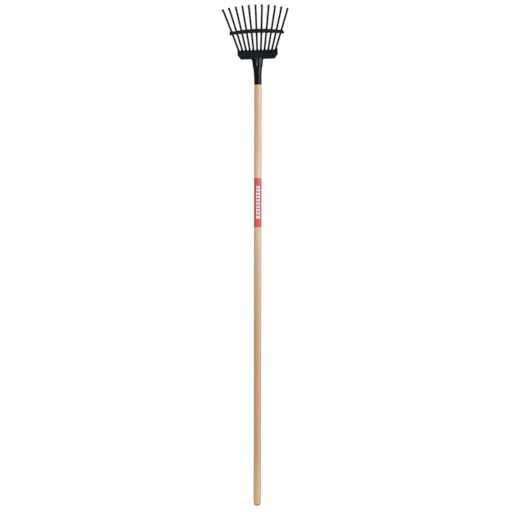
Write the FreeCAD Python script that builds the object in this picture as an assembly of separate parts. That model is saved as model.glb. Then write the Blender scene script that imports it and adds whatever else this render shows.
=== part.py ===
import FreeCAD, Part
import math
import os
from FreeCAD import Vector

# Shrub rake with eleven spring-steel tines on a wooden handle. Millimetres, +Z up, origin at
# the centre of the handle's butt end. The handle runs up the Z axis, the head is at the top,
# and the tine hooks point to the front, which is -Y. The head is built upright, and then leans
# a little to -X about the middle of the socket's mouth.

# ---- handle
HANDLE_LENGTH = 1371.6
BUTT_FLAT_RADIUS = 4.0
# (radius, height) points up the handle: above the butt's dome, then below and above the label
BUTT_FLARE = ((11.4, 11.0), (11.65, 19.0), (11.9, 30.0))
LOWER_SHAFT = ((11.9, 60.0), (11.7, 85.0), (11.6, 130.0), (11.55, 300.0),
               (11.5, 480.0), (11.6, 640.0), (11.65, 800.0), (11.6, 872.0))
UPPER_SHAFT = ((11.6, 1036.0), (11.8, 1060.0), (11.95, 1090.0), (11.75, 1130.0),
               (11.45, 1190.0), (11.55, 1260.0), (11.65, 1318.0))
SHAFT_TOP_Z = 1325.3
SHAFT_TOP_CHAMFER = 0.7
SPIGOT_ROOT_Z = 1323.0
SPIGOT_ROOT_RADIUS = 10.3
SPIGOT_TIP_RADIUS = 9.3
SPIGOT_CHAMFER = 1.5

# ---- label wrapped round the handle, its ends apart at the back
LABEL_Z = 876.3
LABEL_HEIGHT = 155.0
LABEL_THICKNESS = 0.2
LABEL_GAP = 6.0

# ---- head: lean, and the socket's outline at rising heights
HEAD_LEAN = 2.1
MOUTH_Z = 1326.0
HEAD_SHIFT = 1.2
SOCKET_WALL = 1.5
TUBE_RADIUS = 11.85
# height, half width, front depth, back depth, web depth, valley depth, distance to the right
SOCKET_SECTIONS = (
    (1326.0, 11.85, 11.85, 11.85, 11.85, 0.0, 0.0),
    (1334.0, 11.85, 11.85, 11.85, 11.85, 0.0, 0.0),
    (1342.0, 11.85, 11.85, 11.85, 11.85, 0.0, 0.0),
    (1350.0, 11.90, 11.85, 11.85, 11.80, 0.0, 0.05),
    (1358.0, 12.20, 11.85, 11.85, 11.40, 0.0, 0.2),
    (1366.0, 12.75, 11.80, 11.70, 10.40, 0.1, 0.4),
    (1374.0, 13.60, 11.55, 10.90, 8.80, 0.7, 0.65),
    (1382.0, 14.90, 11.15, 9.20, 7.00, 1.5, 0.9),
    (1390.0, 16.25, 10.60, 7.20, 5.30, 2.3, 1.15),
    (1398.0, 17.30, 9.70, 5.20, 3.90, 3.0, 1.35),
    (1405.0, 17.90, 8.50, 3.50, 2.90, 3.3, 1.5),
    (1411.0, 18.10, 6.30, 2.50, 2.45, 2.6, 1.55),
    (1415.6, 18.20, 2.40, 2.20, 2.35, 0.0, 1.6),
)
SECTION_POINTS = 32
RIDGE_HALF_WIDTH = 12.5
VALLEY_HALF_WIDTH = 2.9
CAVITY_FOOT_SECTION = (1318.0, 11.85, 11.85, 11.85, 11.85, 0.0, 0.0)
CAVITY_LAST_SECTION = 8
FLANGE_FIRST_SECTION = 6
FLANGE_LAST_SECTION = 9
FLANGE_INSET = 0.25
FLANGE_DEPTH = 2.2
FLANGE_ROUND = 1.4
SEAM_WIDTH = 1.0
SEAM_TOP_Z = 1388.0

# ---- head plate and the clamp plate behind it
PLATE_SHIFT = 2.2
PLATE_HALF_WIDTH = 63.5
PLATE_FOOT_HALF_WIDTH = 53.2
PLATE_BOTTOM_Z = 1406.0
PLATE_SHOULDER_Z = 1419.5
PLATE_TOP_Z = 1440.0
PLATE_FRONT_Y = -2.4
PLATE_CORNER_RADIUS = 3.0
HEM_FRONT_Y = -3.4
HEM_TOP_Z = 1412.5
HEM_ROUND = 0.9
CLAMP_BACK_Y = 2.3
CLAMP_HALF_WIDTH = 61.5
CLAMP_BOTTOM_Z = 1412.6
CLAMP_SHOULDER_Z = 1421.0
CLAMP_FOOT_HALF_WIDTH = 55.0
NECK_FILLET = 6.5
NECK_FILLET_SINK = 0.8
SCALLOP_RADIUS = 2.3
SCALLOP_BOTTOM_Z = 1434.8
SCALLOP_MOUTH_HALF_WIDTH = 3.3
SCALLOP_MOUTH_Z = 1438.2
FLUTE_RADIUS = 3.0
FLUTE_DEPTH = 1.1
FLUTE_BOTTOM_Z = 1430.5
GROOVE_Z = 1425.7
GROOVE_RADIUS = 2.6
GROOVE_DEPTH = 0.55
GROOVE_HALF_LENGTH = 60.0
WINDOW_WIDTH = 4.2
WINDOW_HEIGHT = 3.0

# ---- tines: straight lines that meet at one point far below, bowed and hooked to the front
TINE_COUNT = 11
TINE_PITCH = 12.06
TINE_PITCH_Z = 1441.4
FAN_RADIUS = 178.0
TINE_WIDTH = 6.35
TINE_THICKNESS = 1.8
TINE_FOOT_Z = 1414.0
TINE_FOOT_RISE = 1.5
TINE_BOW_RADIUS = 483.0
TINE_TOP_MIDDLE_Z = 1576.0
TINE_TOP_LEFT_DROP = 11.0
TINE_TOP_RIGHT_DROP = 14.2
HOOK_RADIUS = 8.0
HOOK_ANGLE = 108.0
HOOK_LENGTH = 22.0
HOOK_CORNER_RADIUS = 1.6
# each tine's turn about its own line, from left to right: no two hooks point quite the same way
TINE_TWISTS = (5.0, 4.5, 1.0, 0.0, 2.0, 0.8, 3.2, 2.4, 3.4, 2.4, 1.2)
FIT = 0.05

# ---- spreader: two arched strips that clamp the tines half way up
SPREADER_Z = 1494.9
SPREADER_ARCH_RADIUS = 630.0
SPREADER_TOP_ARCH_RADIUS = 520.0
SPREADER_FOOT_ARCH_RADIUS = 800.0
SPREADER_HALF_HEIGHT = 7.1
SPREADER_BLANK_HALF_HEIGHT = 8.3
SPREADER_EDGE_DEPTH = 1.5
SPREADER_CROWN_DEPTH = 2.9
# the left end is cut square and the right one at a slant: half width at the top, then at the foot
SPREADER_LEFT_END = (85.3, 85.3)
SPREADER_RIGHT_END = (83.3, 88.3)
SPREADER_END_ROUND = 1.2
SPREADER_SCALLOP_RADIUS = 7.0
SPREADER_SCALLOP_DEPTH = 1.0

# ---- fasteners
HEAD_RIVET_Z = 1418.6
RIVET_SHANK_RADIUS = 1.3
RIVET_HEAD_RADIUS = 2.5
RIVET_HEAD_HEIGHT = 1.1
RIVET_TAIL_RADIUS = 2.3
RIVET_TAIL_HEIGHT = 0.8
SPREADER_RIVET_GAPS = (-4.5, -1.5, 1.5, 4.5)
SCREW_Z = 1343.0
SCREW_SHANK_RADIUS = 2.0
SCREW_LENGTH = 16.0
SCREW_POINT = 4.0
SCREW_HEAD_RADIUS = 3.9
SCREW_HEAD_HEIGHT = 2.2
SCREW_SLOT_WIDTH = 1.1
SCREW_SLOT_LENGTH = 4.6
SCREW_SLOT_DEPTH = 1.2
SCREW_HOLE_RADIUS = 2.3

X_WAY = Vector(1, 0, 0)
Y_WAY = Vector(0, 1, 0)
Z_WAY = Vector(0, 0, 1)
APEX_Z = TINE_PITCH_Z - FAN_RADIUS
HALF_THICKNESS = TINE_THICKNESS / 2
# how far a cutter runs past what it cuts
BEYOND = 30.0
FAR = 100.0


def box(x0, x1, y0, y1, z0, z1):
    return Part.makeBox(x1 - x0, y1 - y0, z1 - z0, Vector(x0, y0, z0))


def turned(shape, centre, way, degrees):
    turned_shape = shape.copy()
    turned_shape.rotate(centre, way, degrees)
    return turned_shape


def leaned(shape):
    """The upright head's shape, leaned to -X about the middle of the socket's mouth."""
    return turned(shape, Vector(0, 0, MOUTH_Z), Y_WAY, -HEAD_LEAN)


def fan_angle(place):
    """The angle from upright of the line at this place, counted in tine pitches from the middle."""
    return math.degrees(math.atan(place * TINE_PITCH / FAN_RADIUS))


def fanned(shape, place):
    """A shape built on the middle line, turned about the apex onto the line at this place."""
    moved = shape.copy()
    moved.translate(Vector(HEAD_SHIFT, 0, 0))
    return turned(moved, Vector(HEAD_SHIFT, 0, APEX_Z), Y_WAY, fan_angle(place))


def on_line(z, place):
    """The height on the middle line that lands at height z once turned to this place."""
    return APEX_Z + (z - APEX_Z) / math.cos(math.radians(fan_angle(place)))


def profile_curve(points):
    """A smooth line through (radius, height) points, upright at both ends."""
    curve = Part.BSplineCurve()
    curve.interpolate(Points=[Vector(r, 0, z) for r, z in points],
                      InitialTangent=Z_WAY, FinalTangent=Z_WAY)
    return curve.toShape()


def revolved(edges):
    face = Part.Face(Part.Wire(Part.__sortEdges__(edges)))
    return face.revolve(Vector(0, 0, 0), Z_WAY, 360)


def line(a, b):
    return Part.makeLine(Vector(*a), Vector(*b))


def prism(points, y0, y1):
    """A plate of this (x, z) outline from y0 to y1."""
    corners = [Vector(x, y0, z) for x, z in points]
    face = Part.Face(Part.makePolygon(corners + corners[:1]))
    return face.extrude(Vector(0, y1 - y0, 0))


def edges_along(shape, way, keep=lambda middle: True):
    """The straight edges of a shape that run this way, where keep says yes to their middles."""
    found = []
    for edge in shape.Edges:
        if not isinstance(edge.Curve, Part.Line):
            continue
        if abs(abs(edge.tangentAt(edge.FirstParameter).dot(way)) - 1) > 1e-6:
            continue
        if keep(edge.CenterOfMass):
            found.append(edge)
    return found


def make_handle(screw_hole):
    dome_r, dome_z = BUTT_FLARE[0]
    dome = Part.Ellipse(Vector(BUTT_FLAT_RADIUS, 0, 0), Vector(dome_r, 0, dome_z),
                        Vector(BUTT_FLAT_RADIUS, 0, dome_z))
    butt_r, butt_z = BUTT_FLARE[-1]
    label_seat_r = LOWER_SHAFT[-1][0]
    neck_r, neck_z = UPPER_SHAFT[-1]
    chamfer_z = SHAFT_TOP_Z - SHAFT_TOP_CHAMFER
    edges = [
        line((0, 0, 0), (BUTT_FLAT_RADIUS, 0, 0)),
        Part.ArcOfEllipse(dome, 0, math.pi / 2).toShape(),
        profile_curve(BUTT_FLARE),
        line((butt_r, 0, butt_z), (butt_r, 0, LOWER_SHAFT[0][1])),
        profile_curve(LOWER_SHAFT),
        line((label_seat_r, 0, LOWER_SHAFT[-1][1]), (label_seat_r, 0, UPPER_SHAFT[0][1])),
        profile_curve(UPPER_SHAFT),
        line((neck_r, 0, neck_z), (neck_r, 0, chamfer_z)),
        line((neck_r, 0, chamfer_z), (neck_r - SHAFT_TOP_CHAMFER, 0, SHAFT_TOP_Z)),
        line((neck_r - SHAFT_TOP_CHAMFER, 0, SHAFT_TOP_Z), (0, 0, SHAFT_TOP_Z)),
        line((0, 0, SHAFT_TOP_Z), (0, 0, 0)),
    ]
    shaft = revolved(edges)
    spigot = Part.makeCone(SPIGOT_ROOT_RADIUS, SPIGOT_TIP_RADIUS, HANDLE_LENGTH - SPIGOT_ROOT_Z,
                           Vector(0, 0, SPIGOT_ROOT_Z))
    tip = [e for e in spigot.Edges if e.CenterOfMass.z > HANDLE_LENGTH - 1 and len(e.Vertexes) == 1]
    spigot = spigot.makeChamfer(SPIGOT_CHAMFER, tip)
    return shaft.fuse(leaned(spigot.cut(screw_hole)))


def make_label():
    seat_r = LOWER_SHAFT[-1][0]
    outer = Part.makeCylinder(seat_r + LABEL_THICKNESS, LABEL_HEIGHT, Vector(0, 0, LABEL_Z))
    inner = Part.makeCylinder(seat_r, LABEL_HEIGHT, Vector(0, 0, LABEL_Z))
    gap = box(-LABEL_GAP / 2, LABEL_GAP / 2, 0, BEYOND, LABEL_Z - 1, LABEL_Z + LABEL_HEIGHT + 1)
    return outer.cut(inner).cut(gap)


def socket_wire(section, wall):
    """One closed outline of the socket, this far inside its outer surface."""
    z, half_width, front, back, web, valley, shift = section
    points = []
    for k in range(SECTION_POINTS):
        angle = 2 * math.pi * k / SECTION_POINTS
        across = math.cos(angle)
        depth = math.sin(angle)
        x = half_width * across
        if depth > 0:
            y = (back - wall) * depth
        else:
            ridge = (front - web) * math.exp(-(x / RIDGE_HALF_WIDTH) ** 4)
            dip = valley * math.exp(-(x / VALLEY_HALF_WIDTH) ** 2)
            y = ((web - wall) + ridge - dip) * depth
        points.append(Vector(shift + (half_width - wall) * across, y, z))
    curve = Part.BSplineCurve()
    curve.interpolate(Points=points, PeriodicFlag=True)
    return Part.Wire(curve.toShape())


def plate_blank(half_width, foot_half_width, bottom_z, shoulder_z, y0, y1):
    """A head-plate blank with its lower corners cut away and all its corners rounded."""
    outline = [(-foot_half_width, bottom_z), (foot_half_width, bottom_z),
               (half_width, shoulder_z), (half_width, PLATE_TOP_Z),
               (-half_width, PLATE_TOP_Z), (-half_width, shoulder_z)]
    blank = prism([(x + PLATE_SHIFT, z) for x, z in outline], y0, y1)
    return blank.makeFillet(PLATE_CORNER_RADIUS, edges_along(blank, Y_WAY))


def top_scallops():
    """The U-shaped gaps in the plates' top edge, one between each two tines, flared at the mouth."""
    cutters = []
    for k in range(TINE_COUNT - 1):
        place = k + 0.5 - TINE_COUNT // 2
        z = on_line(SCALLOP_BOTTOM_Z + SCALLOP_RADIUS, place)
        mouth = on_line(SCALLOP_MOUTH_Z, place)
        top = on_line(PLATE_TOP_Z, place) + 1
        far = top + BEYOND
        round_end = Part.makeCylinder(SCALLOP_RADIUS, 2 * BEYOND, Vector(0, -BEYOND, z), Y_WAY)
        slot = prism([(-SCALLOP_RADIUS, z), (SCALLOP_RADIUS, z), (SCALLOP_RADIUS, mouth),
                      (SCALLOP_MOUTH_HALF_WIDTH, top), (SCALLOP_MOUTH_HALF_WIDTH, far),
                      (-SCALLOP_MOUTH_HALF_WIDTH, far), (-SCALLOP_MOUTH_HALF_WIDTH, top),
                      (-SCALLOP_RADIUS, mouth)], -BEYOND, BEYOND)
        cutters.append(fanned(round_end.fuse(slot), place))
    return cutters


def flutes(face_y, side):
    """Round-ended grooves between the tines, where the sheet is pressed in. side is -1 or 1."""
    cutters = []
    for k in range(TINE_COUNT - 1):
        place = k + 0.5 - TINE_COUNT // 2
        z = on_line(FLUTE_BOTTOM_Z + FLUTE_RADIUS, place)
        centre = Vector(0, face_y + side * (FLUTE_RADIUS - FLUTE_DEPTH), z)
        rod = Part.makeCylinder(FLUTE_RADIUS, BEYOND, centre)
        cutters.append(fanned(rod.fuse(Part.makeSphere(FLUTE_RADIUS, centre)), place))
    return cutters


def tine_beds():
    """The straight beds that the tines' feet lie in."""
    beds = []
    half = TINE_WIDTH / 2 + FIT
    for k in range(TINE_COUNT):
        place = k - TINE_COUNT // 2
        foot = on_line(TINE_FOOT_Z, place) - FIT
        beds.append(fanned(box(-half, half, -HALF_THICKNESS - FIT, HALF_THICKNESS + FIT,
                               foot, foot + 2 * BEYOND), place))
    return beds


def rivet_holes():
    holes = []
    for k in range(TINE_COUNT):
        place = k - TINE_COUNT // 2
        start = Vector(0, -BEYOND, on_line(HEAD_RIVET_Z, place))
        holes.append(fanned(Part.makeCylinder(RIVET_SHANK_RADIUS + FIT, 2 * BEYOND, start, Y_WAY), place))
    return holes


def neck_flange(side):
    """The folded edge along one side of the neck, which sweeps out into the plate's lower edge."""
    sections = SOCKET_SECTIONS[FLANGE_FIRST_SECTION:FLANGE_LAST_SECTION + 1]
    rim = [Vector(s[6] + side * (s[1] - FLANGE_INSET), -FLANGE_DEPTH, s[0]) for s in sections]
    root = PLATE_BOTTOM_Z - NECK_FILLET + NECK_FILLET_SINK
    turn = Vector(rim[-1].x, -FLANGE_DEPTH, root)
    centre = turn + Vector(side * NECK_FILLET, 0, 0)
    half_way = centre + Vector(-side * NECK_FILLET * math.sqrt(0.5), 0, NECK_FILLET * math.sqrt(0.5))
    foot = centre + Vector(0, 0, NECK_FILLET)
    top = foot + Vector(0, 0, 1)
    inner_top = Vector(sections[0][6] + side * TUBE_RADIUS / 2, -FLANGE_DEPTH, top.z)
    inner_low = Vector(inner_top.x, -FLANGE_DEPTH, rim[0].z)
    curve = Part.BSplineCurve()
    curve.interpolate(Points=rim)
    sweep = [curve.toShape(), Part.makeLine(rim[-1], turn), Part.Arc(turn, half_way, foot).toShape()]
    rest = [Part.makeLine(foot, top), Part.makeLine(top, inner_top),
            Part.makeLine(inner_top, inner_low), Part.makeLine(inner_low, rim[0])]
    flange = Part.Face(Part.Wire(sweep + rest)).extrude(Vector(0, 2 * FLANGE_DEPTH, 0))
    outer = [e for e in flange.Edges
             if abs(abs(e.CenterOfMass.y) - FLANGE_DEPTH) < 1e-6
             and abs(e.CenterOfMass.x - sections[0][6]) > sections[0][1] - 1
             and e.CenterOfMass.z < foot.z - 0.01]
    return flange.makeFillet(FLANGE_ROUND, outer)


def make_socket_plate():
    """One stamping: the rolled socket, its ridged neck and the head's front plate."""
    socket = Part.makeLoft([socket_wire(s, 0) for s in SOCKET_SECTIONS], True)
    hollow = (CAVITY_FOOT_SECTION,) + SOCKET_SECTIONS[:CAVITY_LAST_SECTION + 1]
    cavity = Part.makeLoft([socket_wire(s, SOCKET_WALL) for s in hollow], True)
    plate = plate_blank(PLATE_HALF_WIDTH, PLATE_FOOT_HALF_WIDTH, PLATE_BOTTOM_Z, PLATE_SHOULDER_Z,
                        PLATE_FRONT_Y, 0)
    hem = plate_blank(PLATE_HALF_WIDTH, PLATE_FOOT_HALF_WIDTH, PLATE_BOTTOM_Z, PLATE_SHOULDER_Z,
                      HEM_FRONT_Y, CLAMP_BACK_Y)
    hem = hem.common(box(-FAR, FAR, -FAR, FAR, PLATE_BOTTOM_Z - 1, HEM_TOP_Z))
    front = edges_along(hem, X_WAY, lambda m: m.y < HEM_FRONT_Y + 0.01)
    hem = hem.makeFillet(HEM_ROUND, front)
    groove = Part.makeCylinder(GROOVE_RADIUS, 2 * GROOVE_HALF_LENGTH,
                               Vector(HEAD_SHIFT - GROOVE_HALF_LENGTH,
                                      PLATE_FRONT_Y - GROOVE_RADIUS + GROOVE_DEPTH, GROOVE_Z), X_WAY)
    windows = []
    for k in range(TINE_COUNT):
        place = k - TINE_COUNT // 2
        z = on_line(GROOVE_Z, place)
        windows.append(fanned(box(-WINDOW_WIDTH / 2, WINDOW_WIDTH / 2, -BEYOND, 0,
                                  z - WINDOW_HEIGHT / 2, z + WINDOW_HEIGHT / 2), place))
    inside_hem = box(-FAR, FAR, -FAR, FAR, PLATE_BOTTOM_Z - 1, PLATE_BOTTOM_Z + HEM_ROUND)
    plate = plate.cut([groove, inside_hem] + windows + flutes(PLATE_FRONT_Y, -1))
    body = socket.fuse([plate, hem, neck_flange(1), neck_flange(-1)])
    clamp_seat = box(-FAR, FAR, 0, FAR, HEM_TOP_Z, PLATE_TOP_Z + FAR)
    seam = box(-SEAM_WIDTH / 2, SEAM_WIDTH / 2, 0, FAR, MOUTH_Z - 1, SEAM_TOP_Z)
    screw_hole = Part.makeCylinder(SCREW_HOLE_RADIUS, BEYOND, Vector(0, 0, SCREW_Z), Y_WAY)
    body = body.cut([cavity, clamp_seat, seam, screw_hole])
    body = body.cut(top_scallops() + tine_beds() + rivet_holes())
    return leaned(body)


def make_clamp_plate():
    plate = plate_blank(CLAMP_HALF_WIDTH, CLAMP_FOOT_HALF_WIDTH, CLAMP_BOTTOM_Z, CLAMP_SHOULDER_Z,
                        0, CLAMP_BACK_Y)
    plate = plate.cut(top_scallops() + tine_beds() + rivet_holes() + flutes(CLAMP_BACK_Y, 1))
    return leaned(plate)


def tine_top_z(place):
    drop = TINE_TOP_LEFT_DROP if place < 0 else TINE_TOP_RIGHT_DROP
    return TINE_TOP_MIDDLE_Z - drop * (place / (TINE_COUNT // 2)) ** 2


def tine_blade(place, grow):
    """The bowed blade and its hook above the plate, on the middle line, this much oversize."""
    half = HALF_THICKNESS + grow
    start = on_line(PLATE_TOP_Z, place) + TINE_FOOT_RISE
    reach = on_line(tine_top_z(place), place) - start - HOOK_RADIUS - HALF_THICKNESS
    bow = math.asin(reach / (TINE_BOW_RADIUS - HOOK_RADIUS))
    bend = math.radians(HOOK_ANGLE)

    def back_way(angle):
        return Vector(0, math.cos(angle), math.sin(angle))

    def ahead(angle):
        return Vector(0, -math.sin(angle), math.cos(angle))

    def arc(centre, radius, a0, a1):
        return Part.Arc(centre + back_way(a0) * radius, centre + back_way((a0 + a1) / 2) * radius,
                        centre + back_way(a1) * radius).toShape()

    bow_centre = Vector(0, -TINE_BOW_RADIUS, start)
    hook_centre = bow_centre + back_way(bow) * (TINE_BOW_RADIUS - HOOK_RADIUS)
    hook_end = hook_centre + back_way(bend) * HOOK_RADIUS + ahead(bend) * HOOK_LENGTH
    hook_start = hook_centre + back_way(bend) * HOOK_RADIUS
    outer_root = Vector(0, half, start)
    inner_root = Vector(0, -half, start)
    thick = back_way(bend) * half
    edges = [
        arc(bow_centre, TINE_BOW_RADIUS + half, 0, bow),
        arc(hook_centre, HOOK_RADIUS + half, bow, bend),
        Part.makeLine(hook_start + thick, hook_end + thick),
        Part.makeLine(hook_end + thick, hook_end - thick),
        Part.makeLine(hook_end - thick, hook_start - thick),
        arc(hook_centre, HOOK_RADIUS - half, bend, bow),
        arc(bow_centre, TINE_BOW_RADIUS - half, bow, 0),
        Part.makeLine(inner_root, outer_root),
    ]
    face = Part.Face(Part.Wire(edges))
    width = TINE_WIDTH + 2 * grow
    face.translate(Vector(-width / 2, 0, 0))
    blade = face.extrude(Vector(width, 0, 0))
    tip = [e for e in blade.Edges
           if (e.CenterOfMass - hook_end).Length < width * 0.6
           and isinstance(e.Curve, Part.Line)
           and abs(abs(e.tangentAt(e.FirstParameter).dot(back_way(bend))) - 1) < 1e-6]
    return blade.makeFillet(HOOK_CORNER_RADIUS, tip)


def make_tine(number, grow=0.0):
    """One tine: a flat foot between the plates, and a bowed and hooked blade above them."""
    place = number - TINE_COUNT // 2
    blade = tine_blade(place, grow)
    blade = turned(blade, Vector(0, 0, 0), Z_WAY, -TINE_TWISTS[number])
    foot_z = on_line(TINE_FOOT_Z, place)
    half = TINE_WIDTH / 2 + grow
    foot = box(-half, half, -HALF_THICKNESS - grow, HALF_THICKNESS + grow,
               foot_z, on_line(PLATE_TOP_Z, place) + TINE_FOOT_RISE)
    hole = Part.makeCylinder(RIVET_SHANK_RADIUS + FIT, 2 * BEYOND,
                             Vector(0, -BEYOND, on_line(HEAD_RIVET_Z, place)), Y_WAY)
    return leaned(fanned(foot.fuse(blade).cut(hole), place))


def spreader_placed(shape):
    """A shape built upright on the spreader's middle plane, moved onto the bowed tines."""
    rise = SPREADER_Z - PLATE_TOP_Z
    tilt = math.asin(rise / TINE_BOW_RADIUS)
    moved = turned(shape, Vector(0, 0, SPREADER_Z), X_WAY, math.degrees(tilt))
    moved.translate(Vector(HEAD_SHIFT, -TINE_BOW_RADIUS * (1 - math.cos(tilt)), 0))
    return moved


def gap_x(place):
    """How far from the strip's middle this place's line crosses it."""
    return math.tan(math.radians(fan_angle(place))) * (SPREADER_Z - APEX_Z)


def gap_turn(place):
    """The turn about the arch's centre that brings the strip's middle to this place's line."""
    return math.degrees(math.asin(gap_x(place) / SPREADER_ARCH_RADIUS))


def spreader_top(x):
    """Height of the strip's upper edge at this distance from its middle."""
    drop = SPREADER_TOP_ARCH_RADIUS - math.sqrt(SPREADER_TOP_ARCH_RADIUS ** 2 - x ** 2)
    return SPREADER_Z + SPREADER_HALF_HEIGHT - drop


def spreader_foot(x):
    """Height of the strip's lower edge at this distance from its middle."""
    drop = SPREADER_FOOT_ARCH_RADIUS - math.sqrt(SPREADER_FOOT_ARCH_RADIUS ** 2 - x ** 2)
    return SPREADER_Z - SPREADER_HALF_HEIGHT - drop


def spreader_outline():
    """The strip's shape seen from the front, as a prism: two arched edges, closer at the ends."""
    left_top, left_foot = [-x for x in SPREADER_LEFT_END]
    right_top, right_foot = SPREADER_RIGHT_END
    corners = [Vector(left_foot, -BEYOND, spreader_foot(left_foot)),
               Vector(left_top, -BEYOND, spreader_top(left_top)),
               Vector(right_top, -BEYOND, spreader_top(right_top)),
               Vector(right_foot, -BEYOND, spreader_foot(right_foot))]
    upper = Part.Arc(corners[1], Vector(0, -BEYOND, spreader_top(0)), corners[2]).toShape()
    lower = Part.Arc(corners[3], Vector(0, -BEYOND, spreader_foot(0)), corners[0]).toShape()
    edges = [Part.makeLine(corners[0], corners[1]), upper, Part.makeLine(corners[2], corners[3]), lower]
    blank = Part.Face(Part.Wire(edges)).extrude(Vector(0, 2 * BEYOND, 0))
    return blank.makeFillet(SPREADER_END_ROUND, edges_along(blank, Y_WAY))


def spreader_strip(side):
    """One arched strip with a crowned outer face. side is -1 for the front one, 1 for the rear."""
    low = SPREADER_Z - SPREADER_BLANK_HALF_HEIGHT
    high = SPREADER_Z + SPREADER_BLANK_HALF_HEIGHT
    edge = side * SPREADER_EDGE_DEPTH
    crown = side * SPREADER_CROWN_DEPTH
    outline = [
        line((0, 0, low), (0, edge, low)),
        Part.Arc(Vector(0, edge, low), Vector(0, crown, SPREADER_Z), Vector(0, edge, high)).toShape(),
        line((0, edge, high), (0, 0, high)),
        line((0, 0, high), (0, 0, low)),
    ]
    arch_centre = Vector(0, 0, SPREADER_Z - SPREADER_ARCH_RADIUS)
    half_turn = math.degrees(max(SPREADER_RIGHT_END) / SPREADER_ARCH_RADIUS) + 1
    face = turned(Part.Face(Part.Wire(outline)), arch_centre, Y_WAY, -half_turn)
    strip = face.revolve(arch_centre, Y_WAY, 2 * half_turn).common(spreader_outline())
    cutters = []
    scallop_offset = SPREADER_SCALLOP_RADIUS - SPREADER_SCALLOP_DEPTH
    for k in range(TINE_COUNT - 1):
        x = gap_x(k + 0.5 - TINE_COUNT // 2)
        for z in (spreader_top(x) + scallop_offset, spreader_foot(x) - scallop_offset):
            cutters.append(Part.makeCylinder(SPREADER_SCALLOP_RADIUS, 2 * BEYOND,
                                             Vector(x, -BEYOND, z), Y_WAY))
    for place in SPREADER_RIVET_GAPS:
        hole = Part.makeCylinder(RIVET_SHANK_RADIUS + FIT, 2 * BEYOND,
                                 Vector(0, -BEYOND, SPREADER_Z), Y_WAY)
        cutters.append(turned(hole, arch_centre, Y_WAY, gap_turn(place)))
    return leaned(spreader_placed(strip.cut(cutters)))


def make_rivet(front_y, back_y, z):
    """A round-headed rivet along Y: domed head in front, flattened tail behind."""
    sphere_r = (RIVET_HEAD_RADIUS ** 2 + RIVET_HEAD_HEIGHT ** 2) / (2 * RIVET_HEAD_HEIGHT)
    ball = Part.makeSphere(sphere_r, Vector(0, front_y - RIVET_HEAD_HEIGHT + sphere_r, z))
    dome = ball.common(box(-BEYOND, BEYOND, -BEYOND, front_y, z - BEYOND, z + BEYOND))
    shank = Part.makeCylinder(RIVET_SHANK_RADIUS, back_y - front_y, Vector(0, front_y, z), Y_WAY)
    tail = Part.makeCylinder(RIVET_TAIL_RADIUS, RIVET_TAIL_HEIGHT, Vector(0, back_y, z), Y_WAY)
    rim = [e for e in tail.Edges if len(e.Vertexes) == 1 and e.CenterOfMass.y > back_y + 0.1]
    tail = tail.makeFillet(RIVET_TAIL_HEIGHT / 2, rim)
    return dome.fuse([shank, tail]).removeSplitter()


def make_head_rivets():
    rivets = []
    for k in range(TINE_COUNT):
        place = k - TINE_COUNT // 2
        rivet = make_rivet(PLATE_FRONT_Y, CLAMP_BACK_Y, on_line(HEAD_RIVET_Z, place))
        rivets.append(leaned(fanned(rivet, place)))
    return Part.makeCompound(rivets)


def make_spreader_rivets():
    arch_centre = Vector(0, 0, SPREADER_Z - SPREADER_ARCH_RADIUS)
    rivet = make_rivet(-SPREADER_CROWN_DEPTH, SPREADER_CROWN_DEPTH, SPREADER_Z)
    rivets = [leaned(spreader_placed(turned(rivet, arch_centre, Y_WAY, gap_turn(place))))
              for place in SPREADER_RIVET_GAPS]
    return Part.makeCompound(rivets)


def make_socket_screw():
    """A pan-head wood screw through the back of the socket into the handle."""
    seat = TUBE_RADIUS
    head = Part.makeCylinder(SCREW_HEAD_RADIUS, SCREW_HEAD_HEIGHT, Vector(0, seat, SCREW_Z), Y_WAY)
    rim = [e for e in head.Edges if len(e.Vertexes) == 1 and e.CenterOfMass.y > seat + 0.1]
    head = head.makeFillet(SCREW_HEAD_HEIGHT / 2, rim)
    top = seat + SCREW_HEAD_HEIGHT
    for half_x, half_z in ((SCREW_SLOT_WIDTH / 2, SCREW_SLOT_LENGTH / 2),
                           (SCREW_SLOT_LENGTH / 2, SCREW_SLOT_WIDTH / 2)):
        head = head.cut(box(-half_x, half_x, top - SCREW_SLOT_DEPTH, top + 1,
                            SCREW_Z - half_z, SCREW_Z + half_z))
    shank_end = seat - SCREW_LENGTH + SCREW_POINT
    shank = Part.makeCylinder(SCREW_SHANK_RADIUS, seat - shank_end, Vector(0, shank_end, SCREW_Z), Y_WAY)
    point = Part.makeCone(0, SCREW_SHANK_RADIUS, SCREW_POINT,
                          Vector(0, shank_end - SCREW_POINT, SCREW_Z), Y_WAY)
    return leaned(head.fuse([shank, point]).removeSplitter())


def save(name, shape):
    os.makedirs("parts", exist_ok=True)
    shape.exportStep("parts/" + name + ".step")
    size = shape.BoundBox
    print(name, len(shape.Solids), "valid" if shape.isValid() else "INVALID", round(shape.Volume, 1),
          [round(v, 1) for v in (size.XMin, size.XMax, size.YMin, size.YMax, size.ZMin, size.ZMax)])


screw_bore = Part.makeCylinder(SCREW_SHANK_RADIUS + FIT, BEYOND,
                               Vector(0, TUBE_RADIUS - SCREW_LENGTH - FIT, SCREW_Z), Y_WAY)
save("handle", make_handle(screw_bore))
save("label", make_label())
save("socket_plate", make_socket_plate())
save("clamp_plate", make_clamp_plate())
tine_cutters = [make_tine(n, FIT) for n in range(TINE_COUNT)]
for n in range(TINE_COUNT):
    save("tine_%02d" % (n + 1), make_tine(n))
save("spreader_front", spreader_strip(-1).cut(tine_cutters))
save("spreader_rear", spreader_strip(1).cut(tine_cutters))
save("spreader_rivets", make_spreader_rivets())
save("head_rivets", make_head_rivets())
save("socket_screw", make_socket_screw())
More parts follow.
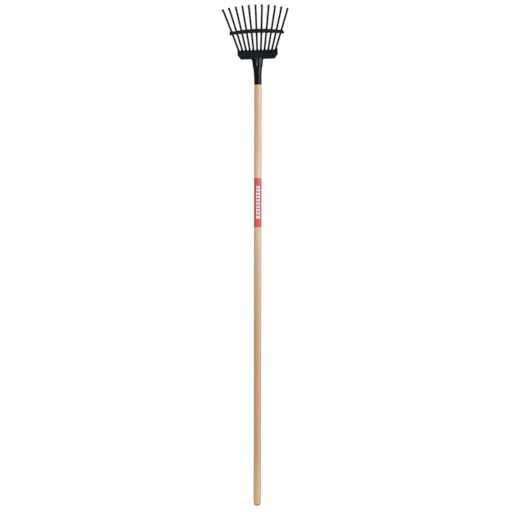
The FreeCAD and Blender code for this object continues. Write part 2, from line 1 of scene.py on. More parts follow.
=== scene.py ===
"""Looks of the leaf rake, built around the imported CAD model.

Named sizes of the rake are in millimetres, and its meshes are turned to metres when they are made.
Shaders, lights, floor and camera work in metres.
"""
import math

import bpy
import numpy as np
from mathutils import Euler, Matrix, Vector


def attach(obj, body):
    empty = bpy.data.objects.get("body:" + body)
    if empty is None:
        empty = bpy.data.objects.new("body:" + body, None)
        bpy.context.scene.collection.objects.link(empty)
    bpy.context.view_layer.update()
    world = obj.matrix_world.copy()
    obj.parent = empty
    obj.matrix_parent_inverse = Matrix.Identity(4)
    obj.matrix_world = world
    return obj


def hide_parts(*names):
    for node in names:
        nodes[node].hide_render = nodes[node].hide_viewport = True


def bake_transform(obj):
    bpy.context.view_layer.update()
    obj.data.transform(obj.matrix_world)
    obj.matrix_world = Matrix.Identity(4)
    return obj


MM = 0.001
ROOT, FAN = "handle_and_plate", "tine_fan"

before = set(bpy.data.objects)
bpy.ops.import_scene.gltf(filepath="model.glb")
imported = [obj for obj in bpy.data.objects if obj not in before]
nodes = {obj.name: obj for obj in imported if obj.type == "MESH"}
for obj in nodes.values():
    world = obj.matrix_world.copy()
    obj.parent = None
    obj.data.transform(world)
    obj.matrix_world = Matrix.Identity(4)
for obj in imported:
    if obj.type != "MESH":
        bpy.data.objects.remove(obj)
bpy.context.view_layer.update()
scene = bpy.context.scene

# ---- the head's lean and the fan's lines, as in the CAD model
HEAD_LEAN = math.radians(2.1)
MOUTH_Z = 1326.0
HEAD_SHIFT = 1.2
TINE_COUNT = 11
TINE_PITCH = 12.06
TINE_PITCH_Z = 1441.4
FAN_RADIUS = 178.0
APEX_Z = TINE_PITCH_Z - FAN_RADIUS


def turn_y(points, centre, angle):
    """Points turned about +Y at a centre."""
    rel = points - np.array(centre)
    c, s = math.cos(angle), math.sin(angle)
    turned = np.stack([rel[:, 0] * c + rel[:, 2] * s, rel[:, 1], -rel[:, 0] * s + rel[:, 2] * c], 1)
    return turned + np.array(centre)


def leaned(points):
    """The upright head's points, leaned to -X about the socket's mouth."""
    return turn_y(np.asarray(points, float), (0, 0, MOUTH_Z), -HEAD_LEAN)


def fan_angle(place):
    """Angle of a tine's line from the middle one, by its place from -5 to 5."""
    return math.atan(place * TINE_PITCH / FAN_RADIUS)


def fanned(points, place):
    """Points on the middle line, moved onto the fan's line at this place."""
    moved = np.asarray(points, float) + np.array((HEAD_SHIFT, 0, 0))
    return turn_y(moved, (HEAD_SHIFT, 0, APEX_Z), fan_angle(place))


def on_line(z, place):
    """Height on the middle line that comes to height z once it is moved to this place."""
    return APEX_Z + (z - APEX_Z) / math.cos(fan_angle(place))


# ---- mesh helpers
def make_piece(name, points, faces, material):
    """A smooth-shaded mesh object from points in mm."""
    mesh = bpy.data.meshes.new(name)
    mesh.from_pydata((np.asarray(points, float) * MM).tolist(), [], faces)
    mesh.validate()
    mesh.update()
    mesh.shade_smooth()
    piece = bpy.data.objects.new(name, mesh)
    scene.collection.objects.link(piece)
    mesh.materials.append(material)
    return piece


def tube_faces(rings, around):
    """Quads between successive closed rings of points. Both ends stay open."""
    faces = []
    for i in range(rings - 1):
        here, above = i * around, (i + 1) * around
        for k in range(around):
            n = (k + 1) % around
            faces.append((here + k, here + n, above + n, above + k))
    return faces


def smooth_profile(points, z):
    """Radius at height z on a smooth line through (radius, height) points, upright at both ends."""
    rs = np.array([p[0] for p in points])
    zs = np.array([p[1] for p in points])
    steps = np.diff(zs)
    slopes = np.diff(rs) / steps
    tangents = np.zeros(len(rs))
    for i in range(1, len(rs) - 1):
        if slopes[i - 1] * slopes[i] > 0:
            tangents[i] = 2 * slopes[i - 1] * slopes[i] / (slopes[i - 1] + slopes[i])
    i = int(np.clip(np.searchsorted(zs, z) - 1, 0, len(steps) - 1))
    t = (z - zs[i]) / steps[i]
    h00 = 2 * t ** 3 - 3 * t ** 2 + 1
    h10 = t ** 3 - 2 * t ** 2 + t
    h01 = 3 * t ** 2 - 2 * t ** 3
    h11 = t ** 3 - t ** 2
    return (h00 * rs[i] + h10 * steps[i] * tangents[i] + h01 * rs[i + 1]
            + h11 * steps[i] * tangents[i + 1])


# ---- shader helpers
class Shader:
    """A material, and short ways to add nodes to it, placed by the rake's own coordinates."""

    def __init__(self, name):
        self.material = bpy.data.materials.new(name)
        self.material.use_nodes = True
        self.tree = self.material.node_tree
        self.surface = self.tree.nodes["Principled BSDF"]
        self.place = self.node("ShaderNodeTexCoord").outputs["Object"]

    def node(self, kind, **settings):
        made = self.tree.nodes.new(kind)
        for key, value in settings.items():
            setattr(made, key, value)
        return made

    def feed(self, socket, value):
        """Link another node's output to the socket, or set the socket's own value."""
        if isinstance(value, bpy.types.NodeSocket):
            self.tree.links.new(value, socket)
        else:
            socket.default_value = value

    def math(self, op, *values):
        made = self.node("ShaderNodeMath", operation=op)
        for socket, value in zip(made.inputs, values):
            self.feed(socket, value)
        return made.outputs[0]

    def plus(self, a, b):
        return self.math("ADD", a, b)

    def minus(self, a, b):
        return self.math("SUBTRACT", a, b)

    def times(self, a, b):
        return self.math("MULTIPLY", a, b)

    def length(self, a, b):
        return self.math("SQRT", self.plus(self.times(a, a), self.times(b, b)))

    def noise(self, scale, detail=3.0, rough=0.55, distortion=0.0):
        """Noise from 0 to 1, with this many cells to a metre along x, y and z."""
        stretched = self.node("ShaderNodeVectorMath", operation="MULTIPLY")
        self.feed(stretched.inputs[0], self.place)
        self.feed(stretched.inputs[1], scale)
        made = self.node("ShaderNodeTexNoise")
        settings = {"Vector": stretched.outputs[0], "Scale": 1.0, "Detail": detail,
                    "Roughness": rough, "Distortion": distortion}
        for key, value in settings.items():
            self.feed(made.inputs[key], value)
        return made.outputs["Fac"]

    def span(self, value, a, b, low=0.0, high=1.0):
        """Value mapped smoothly from a..b to low..high, and held there outside."""
        made = self.node("ShaderNodeMapRange", clamp=True, interpolation_type="SMOOTHSTEP")
        for socket, number in zip(made.inputs, (value, a, b, low, high)):
            self.feed(socket, number)
        return made.outputs[0]

    def fall(self, value, a, b):
        """1 up to a, and down to 0 at b."""
        return self.span(value, a, b, 1.0, 0.0)

    def above(self, value, limit, soft):
        """1 above the limit and 0 below it, with an edge this soft on both sides."""
        return self.span(value, limit - soft, limit + soft)

    def below(self, value, limit, soft):
        """1 below the limit and 0 above it, with an edge this soft on both sides."""
        return self.fall(value, limit - soft, limit + soft)

    def mix(self, amount, a, b):
        made = self.node("ShaderNodeMix", data_type="RGBA", blend_type="MIX")
        self.feed(made.inputs["Factor"], amount)
        self.feed(made.inputs[6], a)
        self.feed(made.inputs[7], b)
        return made.outputs[2]

    def stain(self, colour, mask, share, other):
        """The colour, with this share of another one where the mask is 1."""
        return self.mix(self.times(mask, share), colour, other)

    def parts(self, vector=None):
        """The x, y and z of a vector, or of the place on the rake."""
        made = self.node("ShaderNodeSeparateXYZ")
        self.feed(made.inputs[0], vector or self.place)
        return made.outputs

    def bump(self, height, strength, distance, normal=None):
        made = self.node("ShaderNodeBump")
        self.feed(made.inputs["Strength"], strength)
        self.feed(made.inputs["Distance"], distance)
        self.feed(made.inputs["Height"], height)
        if normal is not None:
            self.feed(made.inputs["Normal"], normal)
        return made.outputs[0]

    def set(self, **values):
        """Feed the surface's own inputs, where an underscore stands for a space."""
        for key, value in values.items():
            self.feed(self.surface.inputs[key.replace("_", " ")], value)


def rgb(r, g, b):
    """A linear colour from sRGB numbers of 0 to 255."""
    return tuple(((v / 255 + 0.055) / 1.055) ** 2.4 if v > 10 else v / 255 / 12.92
                 for v in (r, g, b)) + (1.0,)


# ---- materials
RING_WIDTH = 0.0021
TREE_MIDDLE = (-0.052, -0.021)
TREE_SLANT = (0.013, -0.009)
LABEL_MIDDLE_Z = 0.954


def wood_material():
    """Lacquered ring-porous hardwood. Its rings go round a far tree axis, so that they run out
    along the handle."""
    m = Shader("handle_wood")
    x, y, z = m.parts()
    wander = m.noise((22.0, 22.0, 1.7), 2.0)
    wobble = m.noise((260.0, 260.0, 9.0), 2.0)
    warp = m.plus(m.times(wander, 0.009), m.times(wobble, 0.0009))
    tree_x = m.plus(m.plus(x, -TREE_MIDDLE[0]), m.plus(m.times(z, TREE_SLANT[0]), warp))
    tree_y = m.plus(m.plus(y, -TREE_MIDDLE[1]), m.times(z, TREE_SLANT[1]))
    ring = m.math("FRACT", m.math("DIVIDE", m.length(tree_x, tree_y), RING_WIDTH))
    early = m.times(m.span(ring, 0.0, 0.06), m.fall(ring, 0.18, 0.42))
    late = m.times(m.span(ring, 0.55, 0.96), m.fall(ring, 0.965, 1.0))
    # open pores crowd in the early wood
    pore_noise = m.noise((4200.0, 4200.0, 120.0), 2.0, 0.6)
    pores = m.times(m.span(pore_noise, 0.56, 0.68), m.math("MULTIPLY_ADD", early, 0.85, 0.10))
    fibre = m.noise((1500.0, 1500.0, 24.0), 3.0, 0.6)
    broad = m.noise((30.0, 30.0, 3.0), 2.0)
    colour = m.mix(m.span(broad, 0.3, 0.7), rgb(193, 162, 130), rgb(203, 173, 142))
    colour = m.stain(colour, late, 0.42, rgb(166, 125, 88))
    colour = m.stain(colour, m.span(fibre, 0.35, 0.75), 0.16, rgb(176, 138, 102))
    colour = m.stain(colour, pores, 0.55, rgb(120, 84, 56))
    # the lower half is warmer, and paler again towards the butt
    lower_half = m.span(z, 0.82, 0.42, 0.06, 0.56)
    colour = m.stain(colour, lower_half, m.span(z, 0.03, 0.17, 0.55, 1.0), rgb(199, 149, 98))
    colour = m.mix(m.span(z, 0.17, 0.03, 0.0, 0.36), colour, rgb(230, 192, 150))
    # painted sheen: the right side, toward the side lamp, is painted paler, and painted light makes
    # the left edge pinker and paler
    painted_sheen_side = m.plus(x, m.times(m.minus(wander, 0.5), 0.008))
    colour = m.stain(colour, m.span(painted_sheen_side, 0.0, 0.010), m.span(z, 0.45, 0.85, 0.34, 0.62),
                     rgb(213, 192, 171))
    colour = m.stain(colour, m.span(x, -0.004, -0.011), 0.45, rgb(228, 180, 138))
    # it is paler for a hand's width above and below the label
    from_label = m.math("ABSOLUTE", m.minus(z, LABEL_MIDDLE_Z))
    colour = m.mix(m.span(from_label, 0.085, 0.20, 0.34, 0.0), colour, rgb(218, 200, 181))
    # the butt's end is darker, with a ragged edge
    butt_dark_noise = m.noise((160.0, 160.0, 90.0), 3.0)
    butt_dark_height = m.math("MULTIPLY_ADD", butt_dark_noise, -0.008, z)
    colour = m.stain(colour, m.fall(butt_dark_height, -0.006, 0.0035), 0.9, rgb(88, 75, 62))
    height = m.minus(m.times(fibre, 0.35), pores)
    m.set(Base_Color=colour, Roughness=m.math("MULTIPLY_ADD", fibre, 0.16, 0.34),
          Normal=m.bump(height, 0.35, 0.00012), Coat_Weight=0.5, Coat_Roughness=0.25)
    return m.material


def enamel_material(name, base, tint, roughness):
    """Black baked enamel on steel: orange peel, faint cloudy gloss, thin rubbed edges and a trace
    of dust on what faces up."""
    m = Shader(name)
    cloud = m.noise((70.0, 70.0, 70.0), 4.0, 0.6)
    fine = m.noise((900.0, 900.0, 900.0), 2.0)
    peel = m.noise((650.0, 650.0, 650.0), 1.5, 0.4)
    scratch = m.noise((2600.0, 2600.0, 120.0), 2.0, 0.7, distortion=0.4)
    surface = m.node("ShaderNodeNewGeometry").outputs
    colour = m.mix(m.span(cloud, 0.3, 0.7), base, tint)
    sharpness = m.math("MULTIPLY_ADD", fine, 0.03, surface["Pointiness"])
    colour = m.stain(colour, m.span(sharpness, 0.60, 0.68), 0.55, rgb(70, 73, 77))
    facing_up = m.span(m.parts(surface["Normal"])[2], 0.35, 0.95)
    dusty = m.times(facing_up, m.span(fine, 0.35, 0.7))
    colour = m.stain(colour, dusty, 0.05, rgb(150, 146, 138))
    rough = m.plus(m.math("MULTIPLY_ADD", cloud, 0.14, roughness - 0.07),
                   m.times(m.span(scratch, 0.6, 0.75), 0.10))
    relief = m.bump(peel, 0.25, 0.00006, m.bump(scratch, 0.06, 0.00003))
    m.set(Base_Color=colour, Roughness=rough, Normal=relief, IOR=1.52)
    return m.material


def zinc_material():
    """Dull zinc plate with a faint yellow cast, brushed and greyed in patches."""
    m = Shader("screw_zinc")
    cloud = m.noise((420.0, 420.0, 420.0), 3.0)
    grain = m.noise((3600.0, 3600.0, 900.0), 2.0)
    colour = m.mix(m.span(cloud, 0.35, 0.65), rgb(176, 176, 178), rgb(146, 143, 136))
    m.set(Base_Color=colour, Roughness=m.math("MULTIPLY_ADD", cloud, 0.2, 0.30),
          Normal=m.bump(grain, 0.15, 0.00003), Metallic=0.5)
    return m.material


# ---- the label's size and its print: lengths in mm round and up the handle
LABEL_Z = 876.3
LABEL_HEIGHT = 155.0
LABEL_RADIUS = 11.8
PRINT_ANGLE = math.radians(6.5)
PANEL_HALF_WIDTH, PANEL_LOW_Z, PANEL_HIGH_Z = 6.6, 903.5, 1005.5
LINE_FAR_SIDE = 8.6
MARKS_LOW_Z, MARKS_HIGH_Z, MARK_COUNT = 909.5, 1002.2, 9
LEAF_TILT = math.radians(33)
LEAF_HALF_LENGTH, LEAF_HALF_WIDTH = 3.0, 2.0
LEAF_MIDDLE = (2.45, 0.3)
VEIN_HALF_WIDTH, VEIN_END = 0.14, 1.3
STEM_HALF_WIDTH, STEM_HALF_HEIGHT = 0.8, 3.4
DOT_PITCH, DOT_RADIUS, DOTS_LOW_Z, DOTS_HIGH_Z = 3.6, 0.8, 886.4, 900.8
STRIPE_ANGLE = math.radians(-27.0)
PRINT_EDGE = 0.05


def label_material():
    """Red vinyl with a pale panel of dark leaf pairs, a few dots under it, a thin line at the
    panel's right and a darker stripe at the left."""
    m = Shader("label_vinyl")
    x, y, z = m.parts()
    turn = m.math("ARCTAN2", x, m.times(y, -1.0))
    across = m.times(m.minus(turn, PRINT_ANGLE), LABEL_RADIUS)
    side = m.math("ABSOLUTE", across)
    up = m.times(z, 1.0 / MM)

    def within(low, high):
        """1 between these two heights."""
        return m.times(m.math("GREATER_THAN", up, low), m.math("LESS_THAN", up, high))

    def in_cell(start, pitch):
        """Height above the middle of this cell of a column."""
        cell = m.math("FRACT", m.math("DIVIDE", m.minus(up, start), pitch))
        return m.times(m.minus(cell, 0.5), pitch)

    # a leaf is the overlap of two circles, less the vein that reaches in from its foot
    rise = in_cell(MARKS_LOW_Z, (MARKS_HIGH_Z - MARKS_LOW_Z) / MARK_COUNT)
    lx = m.minus(side, LEAF_MIDDLE[0])
    lz = m.minus(rise, LEAF_MIDDLE[1])
    c, s = math.cos(LEAF_TILT), math.sin(LEAF_TILT)
    along = m.plus(m.times(lx, c), m.times(lz, s))
    aside = m.math("ABSOLUTE", m.minus(m.times(lz, c), m.times(lx, s)))
    radius = (LEAF_HALF_LENGTH ** 2 + LEAF_HALF_WIDTH ** 2) / (2 * LEAF_HALF_WIDTH)
    reach = m.length(m.plus(aside, radius - LEAF_HALF_WIDTH), along)
    vein = m.times(m.below(aside, VEIN_HALF_WIDTH, 0.04), m.below(along, VEIN_END, 0.1))
    leaf = m.times(m.below(reach, radius, PRINT_EDGE), m.minus(1.0, vein))
    # a stem is a diamond between the two leaves of a pair
    slant = m.plus(m.math("DIVIDE", side, STEM_HALF_WIDTH),
                   m.math("DIVIDE", m.math("ABSOLUTE", rise), STEM_HALF_HEIGHT))
    in_column = within(MARKS_LOW_Z, MARKS_HIGH_Z)
    leaves = m.times(leaf, in_column)
    stems = m.times(m.below(slant, 1.0, PRINT_EDGE), in_column)

    in_panel = within(PANEL_LOW_Z, PANEL_HIGH_Z)
    panel = m.times(m.below(side, PANEL_HALF_WIDTH, PRINT_EDGE), in_panel)
    line = m.times(m.above(across, PANEL_HALF_WIDTH, PRINT_EDGE),
                   m.below(across, LINE_FAR_SIDE, PRINT_EDGE))
    line = m.times(line, in_panel)
    from_dot = m.length(across, in_cell(DOTS_LOW_Z, DOT_PITCH))
    dots = m.times(m.below(from_dot, DOT_RADIUS, PRINT_EDGE), within(DOTS_LOW_Z, DOTS_HIGH_Z))
    dark_marks = m.math("MAXIMUM", leaves, m.math("MAXIMUM", stems, dots))
    stripe = m.below(turn, STRIPE_ANGLE, 0.01)

    broad = m.noise((60.0, 60.0, 12.0), 3.0)
    scuff = m.noise((900.0, 900.0, 60.0), 3.0, 0.65, distortion=0.5)
    speck = m.noise((2600.0, 2600.0, 2600.0), 1.0)
    colour = m.mix(m.span(broad, 0.3, 0.7), rgb(199, 76, 79), rgb(207, 90, 94))
    colour = m.stain(colour, m.span(speck, 0.55, 0.75), 0.12, rgb(158, 44, 48))
    colour = m.stain(colour, stripe, 0.8, rgb(190, 84, 76))
    pale = m.mix(m.span(broad, 0.35, 0.65), rgb(234, 190, 192), rgb(243, 212, 212))
    colour = m.mix(panel, colour, pale)
    colour = m.stain(colour, line, 0.75, rgb(140, 44, 52))
    colour = m.mix(dark_marks, colour, rgb(132, 70, 78))
    colour = m.stain(colour, m.span(scuff, 0.62, 0.78), 0.14, rgb(232, 190, 180))
    ink = m.bump(m.math("MAXIMUM", panel, dots), 0.15, 0.00002, m.bump(scuff, 0.10, 0.00004))
    m.set(Base_Color=colour, Roughness=m.math("MULTIPLY_ADD", scuff, 0.30, 0.20), Normal=ink,
          Coat_Weight=0.35, Coat_Roughness=0.12)
    return m.material


wood = wood_material()
vinyl = label_material()
head_enamel = enamel_material("head_enamel", rgb(9, 13, 17), rgb(15, 20, 25), 0.25)
tine_enamel = enamel_material("tine_enamel", rgb(9, 10, 11), rgb(14, 15, 17), 0.34)
spreader_enamel = enamel_material("spreader_enamel", rgb(19, 20, 22), rgb(27, 28, 30), 0.30)
rivet_enamel = enamel_material("rivet_enamel", rgb(14, 17, 20), rgb(20, 23, 27), 0.20)
zinc = zinc_material()

# ---- handle: (radius, height) pairs, as in the CAD model
BUTT_FLAT_RADIUS = 4.0
BUTT_FLARE = ((11.4, 11.0), (11.65, 19.0), (11.9, 30.0))
LOWER_SHAFT = ((11.9, 60.0), (11.7, 85.0), (11.6, 130.0), (11.55, 300.0),
               (11.5, 480.0), (11.6, 640.0), (11.65, 800.0), (11.6, 872.0))
UPPER_SHAFT = ((11.6, 1036.0), (11.8, 1060.0), (11.95, 1090.0), (11.75, 1130.0),
               (11.45, 1190.0), (11.55, 1260.0), (11.65, 1318.0))
SHAFT_TOP_Z, SHAFT_TOP_CHAMFER = 1325.3, 0.7
CHAMFER_FOOT_ROUND, CHAMFER_FOOT_INSET = 0.25, 0.2
SPIGOT_ROOT_RADIUS, SPIGOT_TIP_RADIUS, SPIGOT_CHAMFER = 10.25, 9.3, 1.5
HANDLE_LENGTH = 1371.6
HANDLE_SEGMENTS = 96
DOME_STEPS = 14
SHAFT_STEP = 4.0


def handle_profile():
    """(radius, height) points from the butt's middle to the spigot's tip."""
    dome_r, dome_z = BUTT_FLARE[0]
    flare_r, flare_z = BUTT_FLARE[-1]
    lower_z, upper_z = LOWER_SHAFT[0][1], UPPER_SHAFT[0][1]
    label_r, label_foot_z = LOWER_SHAFT[-1]
    top_r, top_z = UPPER_SHAFT[-1]
    points = [(BUTT_FLAT_RADIUS * share, 0.0) for share in (0.35, 0.7)]
    for k in range(DOME_STEPS + 1):
        a = math.pi / 2 * k / DOME_STEPS
        points.append((BUTT_FLAT_RADIUS + (dome_r - BUTT_FLAT_RADIUS) * math.sin(a),
                       dome_z * (1 - math.cos(a))))
    points += [(smooth_profile(BUTT_FLARE, z), z) for z in np.linspace(dome_z + 2, flare_z, 9)]
    points += [(flare_r, z) for z in np.linspace(flare_z + SHAFT_STEP, lower_z, 8)]
    points += [(smooth_profile(LOWER_SHAFT, z), z)
               for z in np.arange(lower_z + SHAFT_STEP, label_foot_z, SHAFT_STEP)]
    points += [(label_r, z) for z in np.linspace(label_foot_z, upper_z, 42)]
    points += [(smooth_profile(UPPER_SHAFT, z), z)
               for z in np.arange(upper_z + SHAFT_STEP, top_z, SHAFT_STEP)]
    chamfer_z = SHAFT_TOP_Z - SHAFT_TOP_CHAMFER
    points += [(top_r, top_z), (top_r, chamfer_z - CHAMFER_FOOT_ROUND),
               (top_r - CHAMFER_FOOT_INSET, chamfer_z + CHAMFER_FOOT_ROUND),
               (top_r - SHAFT_TOP_CHAMFER, SHAFT_TOP_Z), (SPIGOT_ROOT_RADIUS, SHAFT_TOP_Z)]
    spigot_z, tip_z = SHAFT_TOP_Z + 1, HANDLE_LENGTH - SPIGOT_CHAMFER
    points += [(SPIGOT_ROOT_RADIUS + (SPIGOT_TIP_RADIUS - SPIGOT_ROOT_RADIUS) * t,
                spigot_z + (tip_z - spigot_z) * t) for t in np.linspace(0, 1, 12)]
    points += [(SPIGOT_TIP_RADIUS - SPIGOT_CHAMFER, HANDLE_LENGTH), (4.0, HANDLE_LENGTH)]
    return points


def make_handle():
    """The turned handle, with its spigot leaned along with the head."""
    profile = handle_profile()
    n = HANDLE_SEGMENTS
    angles = np.linspace(0, 2 * math.pi, n, endpoint=False)
    rings = []
    for r, z in profile:
        ring = np.stack([r * np.cos(angles), r * np.sin(angles), np.full(n, z)], 1)
        rings.append(leaned(ring) if z > SHAFT_TOP_Z else ring)
    rings.append([(0, 0, 0), leaned([(0, 0, HANDLE_LENGTH)])[0]])
    points = np.concatenate(rings)
    faces = tube_faces(len(profile), n)
    last = (len(profile) - 1) * n
    foot, tip = len(points) - 2, len(points) - 1
    for k in range(n):
        faces.append((foot, (k + 1) % n, k))
        faces.append((tip, last + k, last + (k + 1) % n))
    return make_piece("rake_handle", points, faces, wood)


handle = make_handle()
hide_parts("handle")
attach(handle, ROOT)

# ---- label: a thin sleeve with a gap at the back
LABEL_GAP = 6.0
LABEL_THICKNESS = 0.2
LABEL_SEGMENTS = 88
LABEL_ROWS = 40
LABEL_EDGE_INSET, LABEL_EDGE_WIDTH = 0.05, 0.06


def make_label():
    """The sleeve's outer and inner walls in one closed shell, with softened outer edges."""
    inner = LABEL_RADIUS - LABEL_THICKNESS
    half_gap = math.asin(LABEL_GAP / 2 / LABEL_RADIUS)
    start = math.pi / 2 + half_gap
    sweep = 2 * (math.pi - half_gap)
    turns = [start + sweep * k / LABEL_SEGMENTS for k in range(LABEL_SEGMENTS + 1)]
    heights = [0.0, LABEL_EDGE_WIDTH, *np.linspace(0, LABEL_HEIGHT, LABEL_ROWS)[1:-1],
               LABEL_HEIGHT - LABEL_EDGE_WIDTH, LABEL_HEIGHT]
    points = []
    for h in heights:
        for k, a in enumerate(turns):
            at_edge = h in (0.0, LABEL_HEIGHT) or k in (0, LABEL_SEGMENTS)
            r = LABEL_RADIUS - (LABEL_EDGE_INSET if at_edge else 0.0)
            points.append((r * math.cos(a), r * math.sin(a), LABEL_Z + h))
        for a in reversed(turns):
            points.append((inner * math.cos(a), inner * math.sin(a), LABEL_Z + h))
    around = 2 * len(turns)
    faces = tube_faces(len(heights), around)
    last = (len(heights) - 1) * around
    for o in range(LABEL_SEGMENTS):
        i = around - 1 - o
        faces.append((o, i, i - 1, o + 1))
        faces.append((last + o, last + o + 1, last + i - 1, last + i))
    return make_piece("handle_label", points, faces, vinyl)


label = make_label()
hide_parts("label")
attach(label, ROOT)

# ---- tines: swept strips with rounded edges
TINE_WIDTH, TINE_THICKNESS, TINE_EDGE_RADIUS = 6.35, 1.8, 0.45
TINE_FOOT_Z, PLATE_TOP_Z, TINE_FOOT_RISE = 1414.0, 1440.0, 1.5
BOW_RADIUS, HOOK_RADIUS, HOOK_ANGLE, HOOK_LENGTH = 483.0, 8.0, math.radians(108), 22.0
TINE_TOP_MIDDLE_Z, TINE_TOP_LEFT_DROP, TINE_TOP_RIGHT_DROP = 1576.0, 11.0, 14.2
TIP_ROUND, TIP_EDGE_ROUND = 1.6, 0.35
TINE_TWISTS = (5.0, 4.5, 1.0, 0.0, 2.0, 0.8, 3.2, 2.4, 3.4, 2.4, 1.2)
TWIST_END = 26.0
EDGE_STEPS = 4
FOOT_STATIONS = 9
BOW_STEP = 2.4
HOOK_STATIONS = 17
PRONG_STATIONS = 8
TIP_STATIONS = 8


def strip_outline(half_width, half_thick):
    """A rounded rectangle, as (across, through) pairs."""
    radius = min(TINE_EDGE_RADIUS, half_width * 0.45)
    points = []
    for sx, sy, start in ((1, 1, 0), (-1, 1, 90), (-1, -1, 180), (1, -1, 270)):
        for k in range(EDGE_STEPS + 1):
            a = math.radians(start + 90 * k / EDGE_STEPS)
            points.append((sx * (half_width - radius) + radius * math.cos(a),
                           sy * (half_thick - radius) + radius * math.sin(a)))
    return points


def tine_line(place):
    """Stations up the upright tine: middle y, middle z, the way's angle from upright, and the
    distance above the plate."""
    start = on_line(PLATE_TOP_Z, place) + TINE_FOOT_RISE
    drop = TINE_TOP_LEFT_DROP if place < 0 else TINE_TOP_RIGHT_DROP
    top_z = TINE_TOP_MIDDLE_Z - drop * (place / (TINE_COUNT // 2)) ** 2
    reach = on_line(top_z, place) - start - HOOK_RADIUS - TINE_THICKNESS / 2
    bow = math.asin(reach / (BOW_RADIUS - HOOK_RADIUS))
    bow_length = BOW_RADIUS * bow

    foot_z = on_line(TINE_FOOT_Z, place)
    stations = [(0.0, z, 0.0, z - start)
                for z in np.linspace(foot_z, start, FOOT_STATIONS + 1)[:-1]]
    for a in np.linspace(0, bow, math.ceil(bow_length / BOW_STEP) + 1):
        stations.append((-BOW_RADIUS + BOW_RADIUS * math.cos(a), start + BOW_RADIUS * math.sin(a),
                         a, BOW_RADIUS * a))

    hook_y = -BOW_RADIUS + (BOW_RADIUS - HOOK_RADIUS) * math.cos(bow)
    hook_z = start + (BOW_RADIUS - HOOK_RADIUS) * math.sin(bow)
    for a in np.linspace(bow, HOOK_ANGLE, HOOK_STATIONS + 1)[1:]:
        stations.append((hook_y + HOOK_RADIUS * math.cos(a), hook_z + HOOK_RADIUS * math.sin(a),
                         a, bow_length + HOOK_RADIUS * (a - bow)))

    y0, z0, a, s0 = stations[-1]
    prong = HOOK_LENGTH - TIP_ROUND
    distances = list(np.linspace(0, prong, PRONG_STATIONS + 1)[1:])
    distances += [prong + TIP_ROUND * math.sin(math.pi / 2 * k / TIP_STATIONS)
                  for k in range(1, TIP_STATIONS + 1)]
    stations += [(y0 - d * math.sin(a), z0 + d * math.cos(a), a, s0 + d) for d in distances]
    return stations


def rounded_loss(left, radius):
    """How far a rounded end has drawn in, at this distance from its tip."""
    if left >= radius:
        return 0.0
    return radius - math.sqrt(max(radius ** 2 - (radius - left) ** 2, 0.0))


def make_tine(number):
    """One tine: its strip swept along its line, with its own twist above the plate."""
    place = number - TINE_COUNT // 2
    stations = tine_line(place)
    end = stations[-1][3]
    twist = math.radians(TINE_TWISTS[number])
    points = []
    for y, z, a, s in stations:
        left = max(end - s, 0.0)
        half_width = TINE_WIDTH / 2 - rounded_loss(left, TIP_ROUND)
        half_thick = TINE_THICKNESS / 2 - rounded_loss(left, TIP_EDGE_ROUND)
        t = min(max(s / TWIST_END, 0.0), 1.0)
        spin = -twist * t * t * (3 - 2 * t)
        for across, through in strip_outline(half_width, half_thick):
            py = y + through * math.cos(a)
            pz = z + through * math.sin(a)
            points.append((across * math.cos(spin) - py * math.sin(spin),
                           across * math.sin(spin) + py * math.cos(spin), pz))
    around = len(points) // len(stations)
    faces = tube_faces(len(stations), around)
    last = (len(stations) - 1) * around
    faces.append(tuple(reversed(range(around))))
    faces.append(tuple(range(last, last + around)))
    return make_piece(f"spring_tine_{number + 1:02d}", leaned(fanned(points, place)), faces,
                      tine_enamel)


for number in range(TINE_COUNT):
    tine = make_tine(number)
    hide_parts(f"tine_{number + 1:02d}")
    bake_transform(tine)


# ---- stamped plates, rivets and screw keep their CAD shape, with softened edges
def finish_node(name, material, voxel, rounds):
    """Give a CAD node its material, an even mesh of this voxel size and rounds of smoothing."""
    node = nodes[name]
    node.data.materials.clear()
    node.data.materials.append(material)
    remesh = node.modifiers.new("even_mesh", "REMESH")
    remesh.mode = "VOXEL"
    remesh.voxel_size = voxel * MM
    remesh.use_smooth_shade = True
    soften = node.modifiers.new("soft_edges", "SMOOTH")
    soften.factor = 0.5
    soften.iterations = rounds


finish_node("socket_plate", head_enamel, 0.36, 6)
finish_node("clamp_plate", head_enamel, 0.36, 3)
finish_node("spreader_front", spreader_enamel, 0.30, 2)
finish_node("spreader_rear", spreader_enamel, 0.30, 2)
finish_node("head_rivets", rivet_enamel, 0.14, 2)
finish_node("spreader_rivets", rivet_enamel, 0.14, 2)
finish_node("socket_screw", zinc, 0.14, 2)

# ---- floor, light and camera
WHITE = (1, 1, 1, 1)
FLOOR_REACH = 14.0
FLOOR_GLOW_NEAR, FLOOR_GLOW_FAR = 0.68, 0.96
WORLD_LIGHT, WORLD_SEEN = 0.07, 1.0


def make_floor():
    """A pale floor that glows more away from the rake, so that it meets the backdrop unseen."""
    m = Shader("floor_white")
    patch = m.noise((2.0, 2.0, 2.0), 2.0)
    x, y, _ = m.parts()
    m.set(Base_Color=m.mix(patch, rgb(178, 178, 178), rgb(182, 182, 182)), Roughness=0.9,
          Emission_Color=WHITE,
          Emission_Strength=m.span(m.length(x, y), 1.0, 7.0, FLOOR_GLOW_NEAR, FLOOR_GLOW_FAR))
    mesh = bpy.data.meshes.new("floor")
    r = FLOOR_REACH
    mesh.from_pydata([(-r, -r, 0), (r, -r, 0), (r, r, 0), (-r, r, 0)], [], [(0, 1, 2, 3)])
    mesh.materials.append(m.material)
    floor = bpy.data.objects.new("floor", mesh)
    floor.visible_glossy = False
    scene.collection.objects.link(floor)


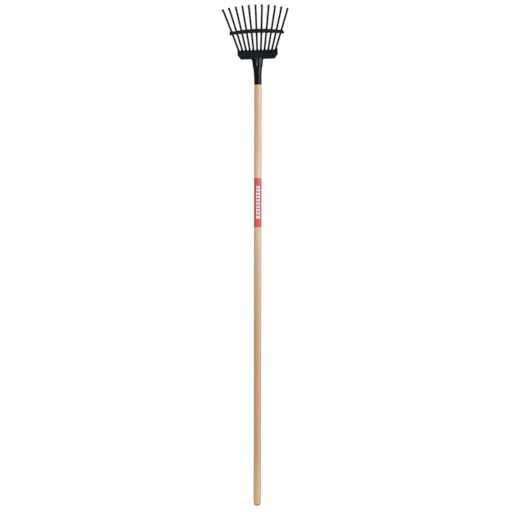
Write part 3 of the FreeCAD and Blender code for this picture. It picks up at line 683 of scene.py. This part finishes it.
def make_world():
    """A white backdrop that lights the rake only a little."""
    world = bpy.data.worlds.new("studio")
    world.use_nodes = True
    tree = world.node_tree
    back = tree.nodes["Background"]
    path = tree.nodes.new("ShaderNodeLightPath")
    level = tree.nodes.new("ShaderNodeMapRange")
    level.inputs["To Min"].default_value = WORLD_LIGHT
    level.inputs["To Max"].default_value = WORLD_SEEN
    tree.links.new(path.outputs["Is Camera Ray"], level.inputs["Value"])
    tree.links.new(level.outputs[0], back.inputs["Strength"])
    back.inputs["Color"].default_value = WHITE
    scene.world = world


def area_light(name, place, target, size, power, glossy=True, diffuse=True):
    """A rectangular lamp of this width and height, in metres and watts, aimed at a target."""
    data = bpy.data.lights.new(name, "AREA")
    data.shape = "RECTANGLE"
    data.size, data.size_y = size
    data.energy = power
    lamp = bpy.data.objects.new(name, data)
    lamp.visible_glossy = glossy
    lamp.visible_diffuse = diffuse
    scene.collection.objects.link(lamp)
    lamp.location = place
    way = Vector(np.subtract(target, place))
    lamp.rotation_euler = way.to_track_quat("-Z", "Y").to_euler()


make_floor()
make_world()
# side, sheen and upper draw the highlights on the black enamel; the others only shape the light
area_light("side", (2.5, -1.5, 1.2), (0, 0, 1.0), (2.7, 3.0), 28.0)
area_light("key", (1.6, -3.0, 5.0), (0, 0, 0.8), (1.6, 1.6), 216.0, glossy=False)
area_light("fill", (-3.0, -2.2, 2.2), (0, 0, 0.8), (1.4, 2.2), 34.0, glossy=False)
area_light("sheen", (2.65, -2.1, 2.45), (0, 0, 1.4), (0.9, 1.1), 28.0, diffuse=False)
area_light("upper", (-0.4, -2.6, 3.4), (0, 0, 1.4), (1.6, 0.7), 6.5, diffuse=False)
area_light("back", (-0.6, 3.0, 3.6), (0, 0, 0.9), (1.8, 1.8), 60.0, glossy=False)

SENSOR_WIDTH = 36.0
FRAME_HEIGHT = 1.6128
CAMERA_DISTANCE, CAMERA_X, CAMERA_Z = 8.0, -0.0052, 0.786
CAMERA_ROLL = math.radians(-0.11)
camera_data = bpy.data.cameras.new("camera")
camera_data.sensor_width = SENSOR_WIDTH
camera_data.lens = SENSOR_WIDTH * CAMERA_DISTANCE / FRAME_HEIGHT
camera_data.clip_end = 100.0
camera = bpy.data.objects.new("camera", camera_data)
scene.collection.objects.link(camera)
camera.location = (CAMERA_X, -CAMERA_DISTANCE, CAMERA_Z)
camera.rotation_euler = Euler((math.pi / 2, CAMERA_ROLL, 0))
scene.camera = camera
scene.view_settings.view_transform = "Standard"
